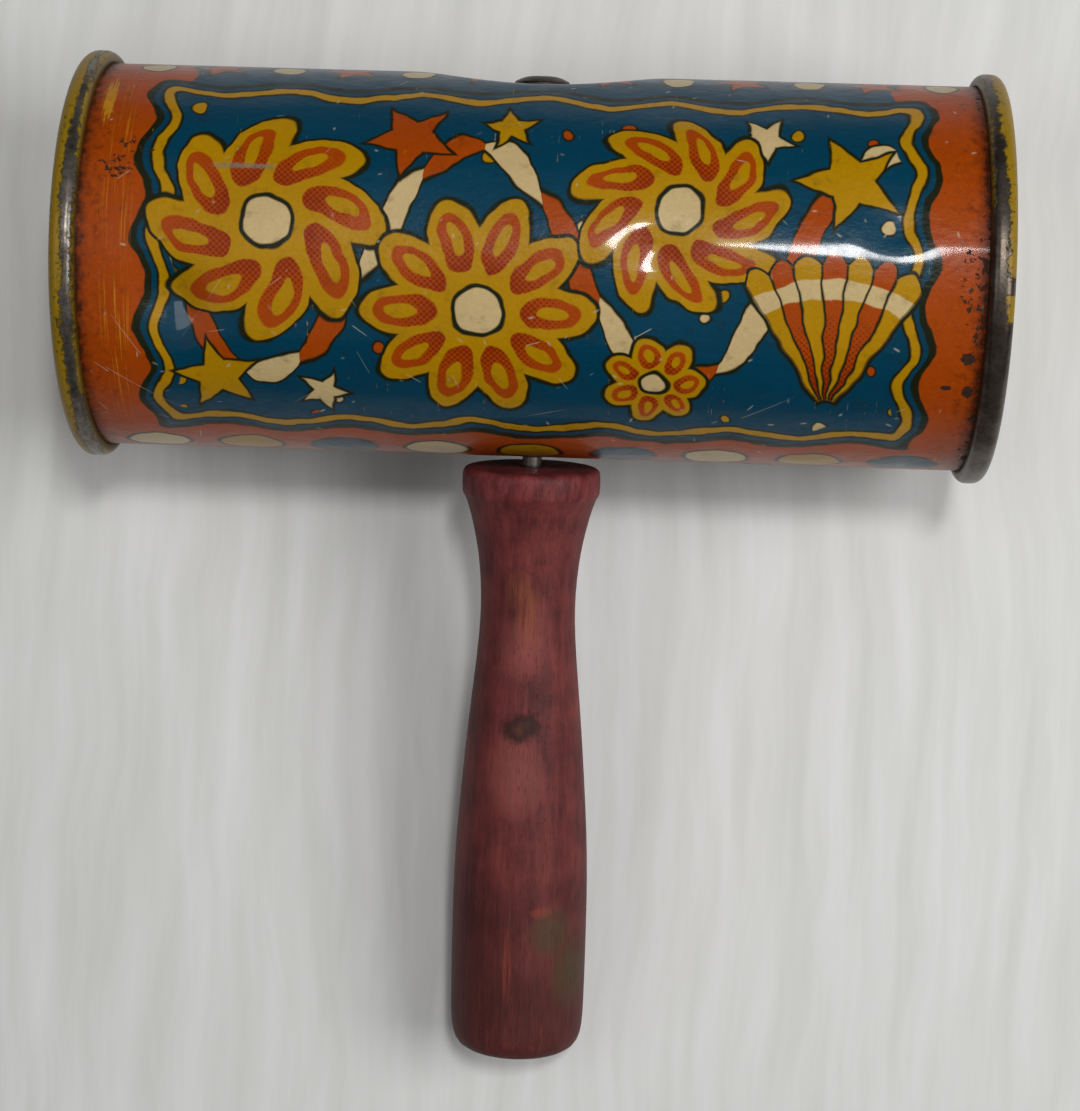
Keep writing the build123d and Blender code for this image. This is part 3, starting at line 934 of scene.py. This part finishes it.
# Handle: turned from a hardwood dowel, with a collar under the can, a waist and a
# full barrel, and dyed maroon. Hands have darkened the butt and worn the waist.
handle_top = -22.8
handle_rings = (
    (1.13, 0.0), (4.5, 0.0), (7.1, 0.0), (7.55, 0.1), (7.85, 0.4), (7.96, 1.0), (7.95, 2.6), (7.86, 3.10),
    (7.60, 3.40), (7.25, 4.3), (6.75, 6.0), (6.15, 8.6), (5.72, 11.4), (5.48, 14.6), (5.46, 17.8),
    (5.76, 22.0),
    (6.40, 28.0), (6.94, 34.0), (7.42, 40.0), (7.78, 45.5), (7.92, 51.0), (7.92, 58.0), (7.88, 64.2),
    (7.78, 66.6), (7.42, 68.2), (6.60, 69.05), (5.2, 69.3), (2.4, 69.3), (0.0, 69.3),
)

dyed_wood, tree, shader, point = finish_of("dyed_wood")
along, up, out = parts(point)
fibre = mottle(stretched(point, 2.4, 0.11, 2.4), 1.0, 4.0, 0.62)
long_band = mottle(stretched(point, 0.62, 0.035, 0.62), 1.0, 3.0, 0.55)
pores = mottle(stretched(point, 7.0, 0.55, 7.0), 1.0, 3.0, 0.6)
blotch = mottle(point, 0.15, 4.0, 0.6)
smudge = mottle(stretched(point, 0.5, 0.2, 0.5), 1.0, 3.0, 0.6)


def handled(x, depth, half_x, half_depth):
    """One at a place on the face of the handle, depth below its top, falling to nothing round it."""
    far_x = (along - x) / half_x
    far_y = (up - (handle_top - depth)) / half_depth
    return ease(far_x * far_x + far_y * far_y, 1.0, 0.0) * ease(out, -1.0, 2.0)


# Dye taken up unevenly: dark maroon with pinker clouds, browner towards the butt.
colour = lay(paint(68, 25, 26), paint(124, 55, 54), ease(blotch * 0.75 + long_band * 0.40, 0.38, 0.78))
colour = lay(colour, paint(60, 22, 24), ease(smudge, 0.50, 0.72) * 0.6)
collar = ease(up, handle_top - 3.5, handle_top - 3.0)
colour = lay(colour, paint(112, 38, 41), collar * 0.7)
rim_wear = ease(mottle(stretched(point, 0.7, 0.35, 0.7), 1.0, 4.0, 0.65), 0.44, 0.66)
colour = lay(colour, paint(136, 70, 68), collar * rim_wear * 0.55)
colour = lay(colour, paint(58, 20, 24), collar * ease(smudge, 0.46, 0.62) * 0.6)
colour = lay(colour, paint(66, 33, 27), ease(up, handle_top - 38.0, handle_top - 62.0) * 0.6)
colour = lay(colour, paint(148, 82, 76), ease(fibre, 0.50, 0.76) * (0.20 - collar * 0.06))

# Rubbed and stained places, from the waist to the butt.
worn = reckon("MAXIMUM", handled(-0.8, 13.6, 1.7, 2.8), handled(0.5, 17.0, 2.0, 4.8))
worn = worn * ease(fibre, 0.34, 0.60)
colour = lay(colour, paint(140, 78, 50), worn * 0.7)
rubbed = reckon("MAXIMUM", handled(-0.5, 20.5, 3.0, 4.0) * 0.7, handled(-0.6, 35.0, 3.8, 5.5))
colour = lay(colour, paint(150, 80, 74), rubbed * 0.6)
scratch = handled(-1.0, 57.5, 0.7, 5.0) * ease(fibre, 0.40, 0.60)
colour = lay(colour, paint(140, 62, 46), reckon("MAXIMUM", scratch, handled(2.8, 50.9, 1.5, 0.8)) * 0.7)
dirt = reckon("MAXIMUM", handled(3.9, 53.4, 2.8, 3.4), handled(6.3, 58.6, 2.6, 5.0))
dirt = dirt * ease(blotch + pores * 0.3, 0.36, 0.60)
colour = lay(colour, paint(72, 62, 42), dirt * 0.75)
pore_marks = ease(pores, 0.60, 0.72)
colour = lay(colour, paint(34, 14, 14), pore_marks * 0.30)

# A knot on the face, darker than the wood round it.
knot_x = along + 0.2 + (blotch - 0.5) * 2.0
knot_y = up - (handle_top - 29.4) + (fibre - 0.5) * 1.2
knot_u = (knot_x + knot_y * 0.45) / 2.6
knot_v = (knot_y - knot_x * 0.45) / 1.9
knot_reach = reckon("SQRT", knot_u * knot_u + knot_v * knot_v) + (mottle(point, 0.6, 3.0) - 0.5) * 0.9
knot = ease(knot_reach, 1.15, 0.70) * ease(out, 0.0, 2.0)
colour = lay(colour, paint(44, 24, 20), knot * 0.85)
colour = lay(colour, paint(96, 56, 42), ease(knot_reach, 0.5, 0.1) * ease(out, 0.0, 2.0) * 0.6)
colour = shaded(colour, 0.80 + fibre * 0.17 + mottle(point, 0.9, 3.0, 0.6) * 0.20)
feed(tree, colour, shader.inputs["Base Color"])
feed(tree, 0.50 + fibre * 0.16 + worn * 0.12 - collar * 0.04, shader.inputs["Roughness"])
shader.inputs["Specular IOR Level"].default_value = 0.22
raised(tree, shader, fibre * 0.5 - pore_marks * 0.5 - knot * 0.8 + long_band * 0.6, 0.07)

handle_mesh = bmesh.new()
turned = [handle_mesh.verts.new((radius, handle_top - depth, 0)) for radius, depth in handle_rings]
profile = [handle_mesh.edges.new(pair) for pair in zip(turned, turned[1:])]
bmesh.ops.spin(
    handle_mesh, geom=turned + profile, cent=(0, 0, 0), axis=(0, 1, 0), angle=tau, steps=64, use_merge=True
)
handle = made_piece("turned_handle", handle_mesh, dyed_wood, "handle", "dyed_wood", "handle")
smooth = handle.modifiers.new("turned", "SUBSURF")
smooth.levels = smooth.render_levels = 1

# Table top: a plain pale painted board that sweeps up far behind on every side, grey far
# off as painted shade of a dim room, with a large soft lamp to the right, a weaker one to
# the left and a small one overhead.
board_mesh = bmesh.new()
sweep = [
    board_mesh.verts.new((reach, 0, height))
    for reach, height in (
        (0.0, 0.0), (0.70, 0.0), (0.86, 0.02), (1.00, 0.09), (1.10, 0.22), (1.14, 0.40), (1.14, 0.9),
    )
]
profile = [board_mesh.edges.new(pair) for pair in zip(sweep, sweep[1:])]
bmesh.ops.spin(
    board_mesh, geom=sweep + profile, cent=(0, 0, 0), axis=(0, 0, 1), angle=tau, steps=72, use_merge=True
)
bmesh.ops.remove_doubles(board_mesh, verts=board_mesh.verts, dist=1e-5)
bmesh.ops.recalc_face_normals(board_mesh, faces=board_mesh.faces)
board_data = bpy.data.meshes.new("table_top")
board_mesh.to_mesh(board_data)
board_mesh.free()
board_data.shade_smooth()
table_top = bpy.data.objects.new("table_top", board_data)
bpy.context.scene.collection.objects.link(table_top)
board_paint, tree, shader, point = finish_of("board_paint")
away = parts(point)
bent = away[0] + (mottle(point, 0.022, 2.0) - 0.5) * 11.0
brushed = ease(mottle(joined(bent * 0.24, away[1] * 0.020, 0.0), 1.0, 4.0, 0.58), 0.32, 0.68)
# Painted shade: far off, the board turns grey, standing in for the dim room beyond the lit table.
far_room_shade = ease(reckon("SQRT", away[0] * away[0] + away[1] * away[1]), 380.0, 950.0)
board = lay(paint(207, 207, 204), paint(222, 222, 220), brushed)
feed(tree, lay(board, paint(118, 119, 120), far_room_shade), shader.inputs["Base Color"])
shader.inputs["Roughness"].default_value = 0.6
board_data.materials.append(board_paint)

world = bpy.data.worlds.new("room")
world.use_nodes = True
bpy.context.scene.world = world
world.node_tree.nodes["Background"].inputs["Color"].default_value = (1.0, 1.0, 1.0, 1.0)
world.node_tree.nodes["Background"].inputs["Strength"].default_value = 0.20

for name, place, aim, width, depth, power in (
    ("right_softbox", (0.36, 0.02, 0.40), (0, 0.04, 0), 0.26, 0.26, 1.52),
    ("left_softbox", (-0.34, 0.02, 0.52), (0, 0.04, 0), 0.26, 0.26, 0.38),
    ("ceiling_lamp", (0.083, 0.135, 0.66), (0.03, 0.04, 0.02), 0.056, 0.090, 1.35),
):
    lamp_data = bpy.data.lights.new(name, "AREA")
    lamp_data.shape = "RECTANGLE"
    lamp_data.size = width
    lamp_data.size_y = depth
    lamp_data.energy = power
    lamp = bpy.data.objects.new(name, lamp_data)
    lamp.location = place
    lamp.rotation_euler = (Vector(aim) - Vector(place)).to_track_quat("-Z", "Y").to_euler()
    bpy.context.scene.collection.objects.link(lamp)

camera_data = bpy.data.cameras.new("camera")
camera_data.lens = 84.4
camera_data.sensor_width = 36.0
camera = bpy.data.objects.new("camera", camera_data)
camera.location = can_middle + Vector((0.01160, -0.03511, 0.29525))
camera.rotation_euler = (radians(0.538), radians(1.957), radians(1.964))
bpy.context.scene.collection.objects.link(camera)
bpy.context.scene.camera = camera
bpy.context.scene.view_settings.view_transform = "Standard"
